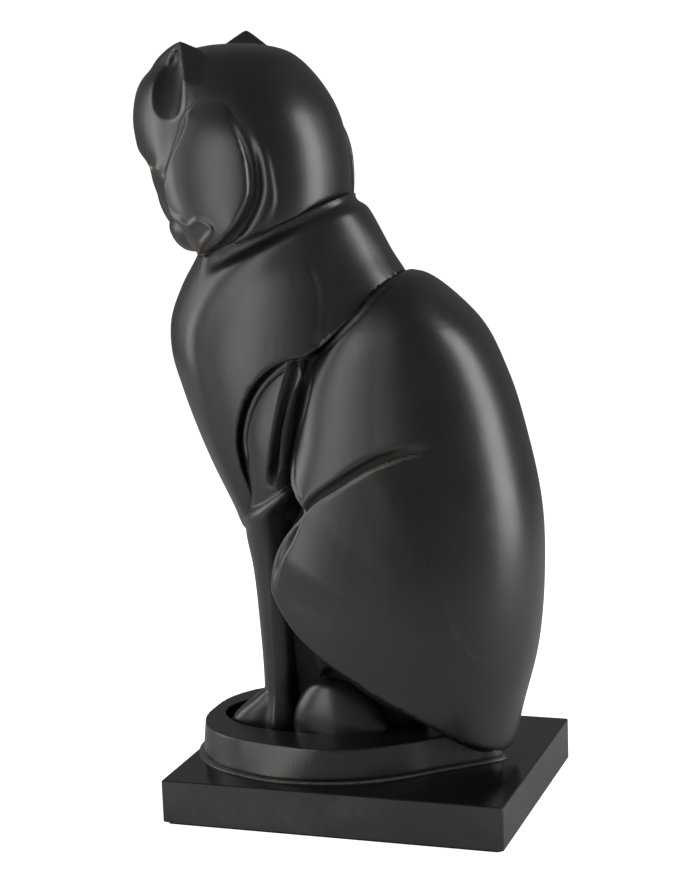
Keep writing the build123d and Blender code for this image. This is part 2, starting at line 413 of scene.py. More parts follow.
def hind_paw(mirror: bool) -> Form:
    """The domed hind paw that shows under the thigh.

    Args:
        mirror: whether it is the one on the cat's right.

    Returns:
        The form.
    """
    rows = rings(
        (14, -14, -14, 0, 27), (15, -46, 22, 14.5, 27), (26, -47, 23, 15, 27),
        (36, -45, 18, 14.5, 27), (46, -40, 10, 12.5, 27), (54, -33, -2, 9, 27),
        (58.5, -20, -20, 0, 27),
        front_power=1.8, back_power=1.7,
    )
    return Form(rows, mirror=mirror)


# Lines of the body, chest and arms, as (y, height) seen from the side.
CREASE_LINE = (
    (62, 364), (36, 338.5), (28, 331.5), (17, 318), (4, 305), (-8, 294), (-19.5, 286),
)
FRONT_LINE = (
    (-19.5, 286), (-21.5, 267), (-26, 249), (-33, 229), (-34.5, 213), (-32, 200), (-24, 190),
    (-19, 183.5),
)
KNEE_LINE = (
    (-19, 183.5), (-33, 168.5), (-42, 154.5), (-46, 140), (-47, 128),
)
SHIN_LINE = ((-47, 128), (-40, 116.5), (-29, 101.5), (-16, 88.5))
LOWER_LINE = ((-16, 88.5), (2.5, 76.5), (29, 59), (50, 47.5), (69, 35), (88, 22), (112, 2))
HOCK_LINE = ((-24, 60), (-18, 68), (3, 58), (24, 44.5), (32, 41.5), (56, 31), (80, 14), (96, 2))
RIDGE_LINE = (
    (78, 229), (49, 223.5), (27.5, 215), (7.4, 202.5), (-14.5, 186.5), (-25, 166), (-33.5, 151.5),
    (-39.5, 137.5), (-43, 128.5),
)
ARC_LINE = (
    (-19.5, 286), (-34, 283), (-50, 273), (-60.5, 260.5), (-67.5, 246), (-72, 228.5), (-71, 207),
    (-66.5, 186), (-70, 172),
)
ARM_RIDGE = ((-24, 300), (-30, 280), (-38, 250), (-43.5, 228), (-47.5, 210), (-51, 195))
CHEST_RIDGE = (
    (-23, 361), (-42, 353), (-64, 343), (-84, 330), (-96, 314), (-102, 300), (-103, 286),
    (-101, 269), (-96.5, 248), (-90, 223), (-82, 198.5), (-78, 180),
)
SHOULDER_LINE = ((-20, 355), (-14, 344), (-9, 330), (-8, 316), (-10, 301), (-15, 290))
# Lines of the head in its own axes: (y, height) from the side.
PETAL_LINE = (
    (14, 456), (9.2, 448), (6, 434), (-2, 419), (-9.5, 405.5), (-12, 393), (-7, 382.5),
    (1, 373), (0, 362), (3, 353), (18, 357), (35, 365.5), (45, 375), (50.5, 384), (53.5, 393.5),
    (54, 404), (52.5, 417), (48, 430), (41, 443), (33, 454),
)
PETAL_REAR = (
    (2, 353), (18, 357), (35, 365.5), (45, 375), (50.5, 384), (53.5, 393.5), (54, 404),
    (52.5, 417), (48, 430), (43, 440),
)
JAW_LINE = (
    (-12, 394), (-10, 387), (-4, 380.5), (4, 378), (11, 375), (20, 378), (29, 373), (17, 362),
    (4, 354.5),
)
CRESCENT_LINE = ((32, 361), (49, 366), (60, 374), (65, 386), (65, 403), (61.5, 422), (55, 437))
# And (distance from the middle, height) from the front.
BROW_LINE = ((0, 436), (14, 433), (28, 428), (40, 421), (50, 411), (58, 401), (66, 396))
EYE = (55.0, 410.5)
# Plans of the tail: the left half as (x, y), from the front to the rump.
CONTACT_PLAN = (
    (0, -119), (20, -117.5), (35.9, -112), (53.2, -100.5), (65, -85), (73.5, -66),
    (78.8, -46.1), (79.3, -26.6), (76.8, -8.1), (71.8, 9.4), (63.5, 25.9), (51.9, 41.3),
    (38, 56), (24, 72), (13.5, 84), (5, 93), (0, 96),
)
TOP_PLAN = (
    (0, -117), (20, -115.5), (33, -111), (46, -103), (57, -90.5), (64.5, -76), (69, -58),
    (72.5, -41.4), (74.6, -25.9), (74.4, -8), (69.8, 8.2), (60.5, 26.4), (49.6, 40), (36, 54),
    (23, 69), (13, 81), (5, 91), (0, 94),
)
INNER_PLAN = (
    (0, -107), (12, -104), (24.9, -94.3), (34, -82), (39, -66), (42.1, -48.3), (42.2, -30),
    (39.6, -16.3), (34, 0), (27, 16), (18, 32), (9, 44), (0, 48),
)
# The head's rim is a slanted plane: one point of it from the side, and its slope.
RIM_POINT = (-48.0, 368.0)
RIM_SLOPE = 0.425
FAR = 260.0

# ---- outlines and strokes --------------------------------------------------------------


def smooth_line(points: Sequence[Point], steps: int = 12, closed: bool = False) -> np.ndarray:
    """A smooth curve through the points of an outline.

    Args:
        points: the points that the outline needs.
        steps: pieces per stretch.
        closed: whether the last point joins the first.

    Returns:
        Points along the curve, one per row.
    """
    p = np.array(points, float)
    if closed:
        p = np.vstack([p, p[:1]])
    knots = np.concatenate([[0.0], np.cumsum(np.linalg.norm(np.diff(p, axis=0), axis=1))])
    at = np.concatenate(
        [np.linspace(a, b, steps, endpoint=False) for a, b in zip(knots[:-1], knots[1:])]
        + [knots[-1:]]
    )
    return hermite(knots, p, at)


@dataclass(frozen=True)
class Track:
    """A line seen from the side, with each skin point's distance from it and place along it."""

    line: np.ndarray

    def measure(self, flat: np.ndarray) -> tuple[np.ndarray, np.ndarray]:
        """Distance and place of flat points.

        Args:
            flat: points as (y, height) rows.

        Returns:
            The distance, positive to the left of the line's direction of travel, and the
            place along the line from 0 to 1.
        """
        start, end = self.line[:-1], self.line[1:]
        run = end - start
        length = np.linalg.norm(run, axis=1)
        done = np.concatenate([[0.0], np.cumsum(length)])
        best = np.full(len(flat), np.inf)
        side = np.zeros(len(flat))
        place = np.zeros(len(flat))
        for k in range(len(run)):
            rel = flat - start[k]
            t = np.clip(rel @ run[k] / length[k] ** 2, 0.0, 1.0)
            gap = rel - t[:, None] * run[k]
            far = np.hypot(gap[:, 0], gap[:, 1])
            near = far < best
            cross = run[k, 0] * rel[:, 1] - run[k, 1] * rel[:, 0]
            best = np.where(near, far, best)
            side = np.where(near, np.sign(cross), side)
            place = np.where(near, (done[k] + t * length[k]) / done[-1], place)
        return best * side, place


def ramp(value: np.ndarray | float, low: float, high: float) -> np.ndarray:
    """A smooth step from 0 at low to 1 at high."""
    t = np.clip((value - low) / (high - low), 0.0, 1.0)
    return t * t * (3 - 2 * t)


def bump(value: np.ndarray, width: float) -> np.ndarray:
    """A soft rounded hump, 1 at zero and nearly 0 past twice the width."""
    return np.exp(-((value / width) ** 2))


def dab(flat: np.ndarray, centre: Point, radii: Point) -> np.ndarray:
    """A soft oval spot.

    Args:
        flat: flat points, one per row.
        centre: middle of the spot.
        radii: its reach along each flat axis.

    Returns:
        1 at the centre, fading to 0.
    """
    gap = (flat - np.array(centre)) / np.array(radii)
    return np.exp(-(gap**2).sum(axis=1))


@dataclass(frozen=True)
class Stroke:
    """A line drawn into the skin from the side, on one side of the cat or both.

    step raises the skin to the left of the line and lets it sink back over fade; groove cuts a
    valley along it, as wide as cut; bead raises a rounded line at an offset from it; wear paints
    the patina paler along it, partly as abrasion and partly as a painted highlight. starts and
    ends say over what share of the line the stroke comes in and goes out; it also fades out over
    the last rest millimetres below top.
    """

    line: np.ndarray
    step: float = 0.0
    edge: float = 2.2
    fade: float = 40.0
    groove: float = 0.0
    cut: float = 2.0
    groove_at: float = -1.5
    bead: float = 0.0
    bead_width: float = 1.4
    bead_at: float = 3.0
    starts: float = 0.0
    ends: float = 0.0
    wear_and_highlight: float = 0.0
    top: float = 1000.0
    rest: float = 20.0

    def lift(self, flat: np.ndarray) -> tuple[np.ndarray, np.ndarray]:
        """What the stroke does to flat points.

        Args:
            flat: flat points, one per row.

        Returns:
            How far each point rises, and how much paler it turns.
        """
        gap, place = Track(self.line).measure(flat)
        power = np.ones(len(flat))
        if self.starts:
            power *= ramp(place, 0.0, self.starts)
        if self.ends:
            power *= 1.0 - ramp(place, 1.0 - self.ends, 1.0)
        power *= 1.0 - ramp(flat[:, 1], self.top - self.rest, self.top)
        rise = self.step * ramp(gap, -self.edge / 2, self.edge / 2) * np.exp(
            -np.maximum(gap, 0.0) / self.fade
        )
        rise -= self.groove * bump(gap - self.groove_at, self.cut)
        rise += self.bead * bump(gap - self.bead_at, self.bead_width)
        return rise * power, self.wear_and_highlight * bump(gap - self.edge * 0.4, 1.1) * power


def plan_outline(half: Sequence[Point], count: int = 180) -> np.ndarray:
    """A closed plan outline, evenly spaced.

    Args:
        half: its left half, from the front to the back.
        count: points of the outline.

    Returns:
        The outline's points, one per row.
    """
    left = smooth_line(half)
    loop = np.vstack([left, left[-2:0:-1] * (-1, 1)])
    loop = np.vstack([loop, loop[:1]])
    run = np.concatenate([[0.0], np.cumsum(np.linalg.norm(np.diff(loop, axis=0), axis=1))])
    at = np.linspace(0.0, run[-1], count, endpoint=False)
    return np.stack([np.interp(at, run, loop[:, k]) for k in (0, 1)], axis=1)


# ---- the clay ----------------------------------------------------------------------------


def new_object(name: str, data: bpy.types.ID) -> bpy.types.Object:
    """Links a mesh, lamp or camera into the scene.

    Args:
        name: name of the new object.
        data: what it shows.

    Returns:
        The object, at the origin.
    """
    made = bpy.data.objects.new(name, data)
    bpy.context.scene.collection.objects.link(made)
    return made


def mesh_from(bm: bmesh.types.BMesh, name: str) -> bpy.types.Mesh:
    """Writes a bmesh into a new mesh and frees it."""
    mesh = bpy.data.meshes.new(name)
    bm.to_mesh(mesh)
    bm.free()
    return mesh


def side_prism(outline: np.ndarray, low: float = -FAR, high: float = FAR) -> bpy.types.Mesh:
    """A side outline carried across the statuette.

    Args:
        outline: corners as (y, height) rows.
        low: where it starts, along x.
        high: where it ends.

    Returns:
        A closed mesh.
    """
    bm = bmesh.new()
    verts = [bm.verts.new((low, y, z)) for y, z in outline]
    face = bm.faces.new(verts)
    out = bmesh.ops.extrude_face_region(bm, geom=[face])
    moved = [g for g in out["geom"] if isinstance(g, bmesh.types.BMVert)]
    bmesh.ops.translate(bm, verts=moved, vec=(high - low, 0, 0))
    bmesh.ops.recalc_face_normals(bm, faces=bm.faces)
    return mesh_from(bm, "prism")


def loft(levels: Sequence[tuple[float, np.ndarray]]) -> bpy.types.Mesh:
    """A closed mesh through plan outlines.

    Args:
        levels: heights from low to high, each with an outline of the same number of points.

    Returns:
        The mesh.
    """
    bm = bmesh.new()
    loops = [[bm.verts.new((x, y, height)) for x, y in outline] for height, outline in levels]
    for low, high in zip(loops[:-1], loops[1:]):
        for k in range(len(low)):
            n = (k + 1) % len(low)
            bm.faces.new((low[k], low[n], high[n], high[k]))
    bm.faces.new(loops[0][::-1])
    bm.faces.new(loops[-1])
    bmesh.ops.recalc_face_normals(bm, faces=bm.faces)
    return mesh_from(bm, "loft")


def even_out(bm: bmesh.types.BMesh, times: int) -> None:
    """Moves each point of a mesh halfway to its neighbours' middle, a number of times."""
    for _ in range(times):
        bmesh.ops.smooth_vert(
            bm, verts=bm.verts, factor=0.5, use_axis_x=True, use_axis_y=True, use_axis_z=True
        )


class Clay:
    """A skin that forms are fused into, cut, smoothed and drawn on."""

    def __init__(self, name: str, grain: Grain) -> None:
        """Starts an empty skin.

        Args:
            name: name of the piece.
            grain: size of the skin's quads.
        """
        self.name = name
        self.grain = grain
        self.bm = bmesh.new()
        # Paleness per point: abraded patina, and painted highlights.
        self.worn_and_highlight: np.ndarray | None = None

    def add(self, *forms: Form) -> None:
        """Adds forms; they join when the skin is fused."""
        for form in forms:
            form.add_to(self.bm)

    def join(self, mesh: bpy.types.Mesh) -> None:
        """Adds a closed mesh to the skin."""
        self.bm.from_mesh(mesh)
        bpy.data.meshes.remove(mesh)

    def modified(self, setup: Callable[[bpy.types.Object], None]) -> None:
        """Takes the result of modifiers as the skin.

        Args:
            setup: adds the modifiers to the object that it is given.
        """
        subject = new_object("clay", mesh_from(self.bm, "clay"))
        setup(subject)
        graph = bpy.context.evaluated_depsgraph_get()
        result = bpy.data.meshes.new_from_object(subject.evaluated_get(graph))
        self.bm = bmesh.new()
        self.bm.from_mesh(result)
        old = subject.data
        bpy.data.objects.remove(subject)
        bpy.data.meshes.remove(old)
        bpy.data.meshes.remove(result)

    def fuse(self) -> None:
        """Makes one even skin of everything so far."""

        def setup(subject: bpy.types.Object) -> None:
            """Adds the remeshing."""
            remesh = subject.modifiers.new("fuse", "REMESH")
            remesh.mode = "VOXEL"
            remesh.voxel_size = self.grain.value

        self.modified(setup)

    def cut(self, *blades: bpy.types.Mesh) -> None:
        """Takes closed meshes away from the skin.

        Args:
            blades: the meshes, which are used up.
        """
        tools = [new_object("blade", blade) for blade in blades]

        def setup(subject: bpy.types.Object) -> None:
            """Adds a cut for each blade."""
            for tool in tools:
                boolean = subject.modifiers.new("cut", "BOOLEAN")
                boolean.operation = "DIFFERENCE"
                boolean.solver = "MANIFOLD"
                boolean.object = tool

        self.modified(setup)
        for tool in tools:
            mesh = tool.data
            bpy.data.objects.remove(tool)
            bpy.data.meshes.remove(mesh)

    def smooth(self, times: int) -> None:
        """Evens the skin out."""
        even_out(self.bm, times)

    def points(self) -> np.ndarray:
        """The skin's points."""
        return np.array([v.co for v in self.bm.verts])

    def normals(self) -> np.ndarray:
        """The skin's normals."""
        self.bm.normal_update()
        return np.array([v.normal for v in self.bm.verts])

    def move(self, points: np.ndarray) -> None:
        """Puts the skin's points where they are given."""
        for vert, point in zip(self.bm.verts, points):
            vert.co = point

    def draw(
        self,
        strokes: Iterable[Stroke],
        flatten: Callable[[np.ndarray], np.ndarray],
        mask: Callable[[np.ndarray, np.ndarray], np.ndarray],
    ) -> None:
        """Draws strokes into the skin along its normals.

        Args:
            strokes: the strokes, in order.
            flatten: turns skin points into the flat points that the strokes are drawn in.
            mask: from points and normals, how strongly each point takes the strokes.
        """
        points, normals = self.points(), self.normals()
        flat, power = flatten(points), mask(points, normals)
        if self.worn_and_highlight is None:
            self.worn_and_highlight = np.zeros(len(points))
        rise = np.zeros(len(points))
        for stroke in strokes:
            lift, wear_and_highlight = stroke.lift(flat)
            rise += lift
            self.worn_and_highlight = np.maximum(self.worn_and_highlight, wear_and_highlight * power)
        self.move(points + normals * (rise * power)[:, None])

    def crests(self, rounds: int = 3) -> np.ndarray:
        """How far each point stands out of its surroundings.

        Args:
            rounds: how wide the surroundings are, in rounds of smoothing.

        Returns:
            One distance per point, in millimetres.
        """
        before, normals = self.points(), self.normals()
        copy = self.bm.copy()
        even_out(copy, rounds)
        after = np.array([v.co for v in copy.verts])
        copy.free()
        return ((before - after) * normals).sum(axis=1)

    def press(self, rise: np.ndarray) -> None:
        """Raises each point along its normal."""
        self.move(self.points() + self.normals() * rise[:, None])

    def rub_and_highlight(self, wear_and_highlight: np.ndarray) -> None:
        """Paints points paler: patina abraded through, and painted highlights in the same pale tone."""
        worn_and_highlight = np.zeros(len(wear_and_highlight)) if self.worn_and_highlight is None else self.worn_and_highlight
        self.worn_and_highlight = np.maximum(worn_and_highlight, wear_and_highlight)

    def finish(self, top: float, replaced: Sequence[str]) -> bpy.types.Object:
        """Makes the finished piece.

        Args:
            top: level of the plinth's top, in metres.
            replaced: the CAD nodes that the piece stands for.

        Returns:
            The finished object.
        """
        # Crest marks convex edges, which the bronze paints paler: partly abraded patina, partly a
        # painted edge highlight.
        crests = ramp(self.crests(), 0.04, 0.32)
        hollows = ramp(-self.crests(12), 0.10, 0.75)
        bmesh.ops.scale(self.bm, verts=self.bm.verts, vec=(MM, MM, MM))
        bmesh.ops.translate(self.bm, verts=self.bm.verts, vec=(0, 0, top))
        for face in self.bm.faces:
            face.smooth = True
        mesh = mesh_from(self.bm, self.name)
        worn_and_highlight = np.zeros(len(mesh.vertices)) if self.worn_and_highlight is None else self.worn_and_highlight
        for name, values in (("wear_and_highlight", worn_and_highlight), ("crest", crests), ("hollow", hollows)):
            layer = mesh.attributes.new(name, "FLOAT", "POINT")
            layer.data.foreach_set("value", values.astype(np.float32))
        made = new_object(self.name, mesh)
        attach(made, BODY)
        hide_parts(*replaced)
        return made


# ---- the castings ---------------------------------------------------------------------------


def triangles(piece: bpy.types.Object) -> int:
    """How many triangles a piece has."""
    return sum(len(face.vertices) - 2 for face in piece.data.polygons)


def mirrored(points: np.ndarray) -> np.ndarray:
    """Skin points seen from the side, the same for both sides."""
    return points[:, 1:]


def sides_only(points: np.ndarray, normals: np.ndarray) -> np.ndarray:
    """Full strength where the skin faces sideways, none where it faces front or back."""
    return ramp(np.abs(normals[:, 0]), 0.05, 0.45)


def head_axes(points: np.ndarray) -> np.ndarray:
    """Skin points in the head's own axes.

    Args:
        points: skin points, one per row.

    Returns:
        The points' x, y and height with the head facing straight ahead.
    """
    a = math.radians(HEAD_TURN)
    x, y = points[:, 0] - HEAD_CENTRE[0], points[:, 1] - HEAD_CENTRE[1]
    return np.stack(
        [x * math.cos(a) - y * math.sin(a), x * math.sin(a) + y * math.cos(a), points[:, 2]], axis=1
    )


def head_side(points: np.ndarray) -> np.ndarray:
    """Skin points of the head seen from its side, the same for both sides."""
    return head_axes(points)[:, 1:]


def head_front(points: np.ndarray) -> np.ndarray:
    """Skin points of the head seen from its front: distance from the middle, and height."""
    local = head_axes(points)
    return np.stack([np.abs(local[:, 0]), local[:, 2]], axis=1)


def cheeks_only(points: np.ndarray, normals: np.ndarray) -> np.ndarray:
    """Full strength on the sides of the head, none along its middle."""
    return ramp(np.abs(head_axes(points)[:, 0]), 18.0, 30.0)


def face_only(points: np.ndarray, normals: np.ndarray) -> np.ndarray:
    """Full strength on the front of the head, none behind it."""
    return ramp(-head_axes(points)[:, 1], 8.0, 24.0)


def closed(*lines: Sequence[Point], ends: Sequence[Point] = ()) -> np.ndarray:
    """A closed outline, not counting its last edge.

    Args:
        lines: smooth stretches, one after the other.
        ends: plain corners after them.

    Returns:
        The outline's points, one per row.
    """
    parts = [smooth_line(line) for line in lines]
    return np.vstack([*parts, np.array(ends, float)])


def drop_repeats(outline: np.ndarray) -> np.ndarray:
    """The outline without points that repeat the one before."""
    gap = np.linalg.norm(np.diff(outline, axis=0, prepend=outline[-1:]), axis=1)
    return outline[gap > 0.05]


def rim_at(y: float, lift: float = 0.0) -> Point:
    """A point of the head's rim, seen from the side.

    Args:
        y: where along the statuette.
        lift: how far above the rim.

    Returns:
        The point.
    """
    return (y, RIM_POINT[1] + (y - RIM_POINT[0]) * RIM_SLOPE + lift)


def above_rim(start: float, lift: float) -> np.ndarray:
    """Everything above the head's rim and behind a place, as a side outline.

    Args:
        start: the place, along y.
        lift: how far above the rim it begins.

    Returns:
        The outline's corners, one per row.
    """
    return np.array([rim_at(start, lift), rim_at(FAR, lift), (FAR, 900), (start, 900)])


def under_head(points: np.ndarray, normals: np.ndarray) -> np.ndarray:
    """Full strength under the middle of the head, none at its back and its front."""
    return ramp(-points[:, 1], -30.0, 15.0) * (1.0 - ramp(-points[:, 1], 84.0, 100.0))


def body_front() -> np.ndarray:
    """Everything in front of and below the body, as a side outline."""
    return drop_repeats(
        closed(CREASE_LINE, FRONT_LINE, KNEE_LINE, SHIN_LINE, LOWER_LINE,
               ends=[(130, 0), (FAR, 0), (FAR, -FAR), (-FAR, -FAR), (-FAR, 500), (62, 500)])
    )


def body_side() -> np.ndarray:
    """Everything behind the chest, as a side outline."""
    return drop_repeats(
        closed(CREASE_LINE, FRONT_LINE, ends=[(-10, 100), (FAR, 100), (FAR, 500), (62, 500)])
    )


@dataclass
class Haunch:
    """The body: back, flanks and thighs, with the hocks under them."""

    top: float
    ridge_rise: float = 6.0
    ridge_groove: float = 4.2
    seam_groove: float = 0.9

    def build(self) -> list[bpy.types.Object]:
        """Makes the pieces of the body.

        Returns:
            The body's skin and the hocks'.
        """
        hock = Clay("hock_skin", Grain.LARGE)
        hock.add(HOCKS)
        below = closed(HOCK_LINE, ends=[(FAR, -FAR), (-FAR, -FAR), (-FAR, 220), (-36, 205), (-40, 120)])
        hock.cut(side_prism(drop_repeats(below)))
        hock.add(BELLY)
        hock.fuse()
        hock.smooth(4)
        clay = Clay("body_skin", Grain.LARGE)
        clay.add(TORSO)
        clay.cut(side_prism(body_front()))
        clay.fuse()
        clay.smooth(4)
        ridge = smooth_line(RIDGE_LINE)
        strokes = [
            Stroke(ridge, step=self.ridge_rise, edge=2.6, fade=60, starts=0.30, ends=0.20),
            Stroke(ridge, groove=self.ridge_groove, cut=2.8, groove_at=-2.6, starts=0.30, ends=0.35),
            # Pale line along the thigh ridge: partly abraded patina, partly a painted edge highlight.
            Stroke(ridge, starts=0.5, wear_and_highlight=0.4),
            Stroke(smooth_line(FRONT_LINE), groove=self.seam_groove, cut=1.0, groove_at=4.0,
                   starts=0.1, ends=0.15),
            Stroke(smooth_line(CREASE_LINE), groove=self.seam_groove, cut=1.0, groove_at=4.0,
                   starts=0.35),
        ]
        clay.draw(strokes, mirrored, sides_only)
        clay.smooth(1)
        return [
            clay.finish(self.top, ["body_casting"]), hock.finish(self.top, ["body_casting"])
        ]


@dataclass
class Breast:
    """Neck and chest down to the point between the forelegs."""

    top: float
    ridge_rise: float = 1.5
    shoulder_drop: float = 2.6
    rim_groove: float = 4.6
    pocket_from: float = 20.0
    neck_front: float = -72.0
    neck_rise: float = 3.0

    def build(self) -> list[bpy.types.Object]:
        """Makes the chest's skin.

        Returns:
            The one piece.
        """
        clay = Clay("chest_skin", Grain.MEDIUM)
        clay.add(CHEST)
        pocket = drop_repeats(closed(ARC_LINE, ends=[(-90, 150), (60, 150), (60, 286)]))
        clay.cut(
            side_prism(body_side()),
            side_prism(pocket, self.pocket_from, FAR),
            side_prism(pocket, -FAR, -self.pocket_from),
            side_prism(above_rim(self.neck_front, self.neck_rise)),
        )
        clay.fuse()
        clay.smooth(5)
        strokes = [
            Stroke(smooth_line(CHEST_RIDGE), bead=self.ridge_rise, bead_width=10.0, bead_at=0.0,
                   starts=0.15),
            Stroke(smooth_line(SHOULDER_LINE), step=-self.shoulder_drop, edge=8.0, fade=40,
                   starts=0.3, ends=0.1),
        ]
        clay.draw(strokes, mirrored, sides_only)
        rim = Stroke(np.array([rim_at(-FAR), rim_at(FAR)]), groove=self.rim_groove, cut=5.5,
                     groove_at=-2.5)
        clay.draw([rim], mirrored, under_head)
        return [clay.finish(self.top, ["chest_casting"])]


@dataclass
class Head:
    """The helmet-like head with its ears, mask, cheeks and muzzle."""

    top: float
    eye: Point = (7.0, 3.4)
    eye_rise: float = 1.8
    gold: Point = (4.5, 2.2)
    jaw_tip: Point = (9.0, 351.0)
    ear_tip: Point = (-18.5, 494.0)
    cheek_rise: float = 5.0
    band_rise: float = 2.2

    def build(self) -> list[bpy.types.Object]:
        """Makes the head's skin.

        Returns:
            The one piece.
        """
        clay = Clay("head_skin", Grain.CLOSE)
        clay.add(SKULL, MUZZLE, NOSE)
        for side in (1, -1):
            ear(clay.bm, side)
        under = np.array([rim_at(-FAR), (-FAR, -FAR), (FAR, -FAR), rim_at(FAR)])
        clay.fuse()
        clay.smooth(2)
        clay.cut(side_prism(under), ear_hollow(1), ear_hollow(-1))
        clay.fuse()
        clay.smooth(4)
        strokes = [
            Stroke(smooth_line(CRESCENT_LINE), step=self.band_rise, edge=4.0, fade=10, starts=0.2,
                   ends=0.3),
            Stroke(smooth_line(PETAL_LINE), step=self.cheek_rise, edge=2.2, fade=900, top=456,
                   rest=34),
            Stroke(smooth_line(PETAL_REAR), groove=4.0, cut=3.0, groove_at=-3.4, starts=0.04,
                   ends=0.35),
            Stroke(smooth_line(PETAL_LINE[:7]), groove=1.6, cut=1.8, groove_at=-2.4, starts=0.3,
                   ends=0.25),
            Stroke(smooth_line(JAW_LINE), bead=1.6, bead_width=1.5, bead_at=0.0, starts=0.25),
        ]
        clay.draw(strokes, head_side, cheeks_only)
        brow = Stroke(smooth_line(BROW_LINE), step=2.2, edge=3.0, fade=18)
        clay.draw([brow], head_front, face_only)
        self.add_eyes(clay)
        self.rub_gold(clay)
        clay.smooth(1)
        return [clay.finish(self.top, ["head_casting"])]

    def add_eyes(self, clay: Clay) -> None:
        """Raises the eyes and wears them through to the metal."""
        ahead = ramp(-head_axes(clay.points())[:, 1], 12.0, 24.0)
        clay.press(dab(head_front(clay.points()), EYE, self.eye) * ahead * self.eye_rise)
        clay.rub_and_highlight(dab(head_front(clay.points()), EYE, self.gold) * ahead)

    def rub_gold(self, clay: Clay) -> None:
        """Wears the tips of the jaw and of the left ear through to the metal."""
        local = head_axes(clay.points())
        outer = ramp(np.abs(local[:, 0]), 25.0, 33.0)
        clay.rub_and_highlight(dab(local[:, 1:], self.jaw_tip, (5.0, 4.0)) * outer)
        clay.rub_and_highlight(0.75 * dab(local[:, 1:], self.ear_tip, (4.0, 2.5)) * (local[:, 0] > 0))


@dataclass
class Forelimb:
    """Upper arm, foreleg and paw of one side."""

    top: float
    left: bool
    arm_step: float = 8.0
    toe: Point = (-97.0, 27.0)

    def build(self) -> list[bpy.types.Object]:
        """Makes the limb's skin.

        Returns:
            The one piece.
        """
        name = "foreleg_left" if self.left else "foreleg_right"
        mirror = not self.left
        clay = Clay(name + "_skin", Grain.FINE)
        clay.add(arm(mirror), foreleg(mirror), forepaw(mirror))
        clay.fuse()
        clay.smooth(4)
        strokes = [
            Stroke(smooth_line(ARM_RIDGE), step=-self.arm_step, edge=7.0, fade=60, starts=0.12,
                   ends=0.14),
            Stroke(smooth_line(ARC_LINE[:-2]), groove=1.3, cut=1.0, groove_at=5.0, starts=0.1,
                   ends=0.15),
        ]
        clay.draw(strokes, mirrored, sides_only)
        if mirror:
            clay.rub_and_highlight(dab(clay.points()[:, 1:], self.toe, (5.0, 5.0)))
        return [clay.finish(self.top, [name])]


@dataclass
class HindPaw:
    """The domed paw under one thigh."""

    top: float
    left: bool

    def build(self) -> list[bpy.types.Object]:
        """Makes the paw's skin.

        Returns:
            The one piece.
        """
        name = "hind_paw_left" if self.left else "hind_paw_right"
        clay = Clay(name + "_skin", Grain.FINE)
        clay.add(hind_paw(not self.left))
        clay.fuse()
        clay.smooth(3)
        return [clay.finish(self.top, [name])]


@dataclass
class Tail:
    """The tail, a flat-topped band lying round the feet."""

    top: float
    height: float = 23.0
    foot: float = 2.5
    sole: float = 0.9
    # How much paler the sole is painted: a painted highlight along the tail's foot.
    sole_highlight: float = 0.22

    def build(self) -> list[bpy.types.Object]:
        """Makes the tail.

        Returns:
            The tail's skin and the thin sole under it.
        """
        contact, upper = plan_outline(CONTACT_PLAN), plan_outline(TOP_PLAN)
        inner = plan_outline(INNER_PLAN)
        clay = Clay("tail_skin", Grain.FINE)
        clay.join(
            loft([
                (0.0, contact * 0.975), (self.foot, contact), (self.height, upper),
            ])
        )
        clay.cut(loft([(-5.0, inner), (self.height + 10, inner)]))
        clay.fuse()
        clay.smooth(2)
        sole = Clay("sole_skin", Grain.FINE)
        sole.join(loft([(0.0, contact * 1.030), (self.sole, contact * 1.024)]))
        # The sole is painted paler all over, as a highlight along the tail's foot.
        sole.rub_and_highlight(np.full(len(sole.bm.verts), self.sole_highlight))
        return [clay.finish(self.top, ["tail_casting"]), sole.finish(self.top, ["tail_casting"])]


# ---- finishes -----------------------------------------------------------------------------


class Value:
    """A number or colour in a node tree, for use in plain arithmetic."""

    def __init__(self, nodes: "Nodes", socket: bpy.types.NodeSocket) -> None:
        """Wraps an output socket."""
        self.nodes = nodes
        self.socket = socket

    def math(self, operation: str, other: "Value | float", swapped: bool = False) -> "Value":
        """A Math node of this value and another.

        Args:
            operation: the node's operation.
            other: the other term.
            swapped: whether the other term comes first.

        Returns:
            The node's result.
        """
        terms = {0: other, 1: self} if swapped else {0: self, 1: other}
        node = self.nodes.node("ShaderNodeMath", {"operation": operation}, terms)
        return Value(self.nodes, node.outputs[0])

    def __add__(self, other: "Value | float") -> "Value":
        """This value plus another."""
        return self.math("ADD", other)

    def __sub__(self, other: "Value | float") -> "Value":
        """This value less another."""
        return self.math("SUBTRACT", other)

    def __rsub__(self, other: float) -> "Value":
        """A number less this value."""
        return self.math("SUBTRACT", other, swapped=True)

    def __mul__(self, other: "Value | float") -> "Value":
        """This value times another."""
        return self.math("MULTIPLY", other)

    __radd__ = __add__
    __rmul__ = __mul__

    def ramp(self, low: float, high: float) -> "Value":
        """A smooth step from 0 at low to 1 at high."""
        node = self.nodes.node(
            "ShaderNodeMapRange", {"interpolation_type": "SMOOTHSTEP"},
            {"Value": self, "From Min": low, "From Max": high},
        )
        return Value(self.nodes, node.outputs["Result"])


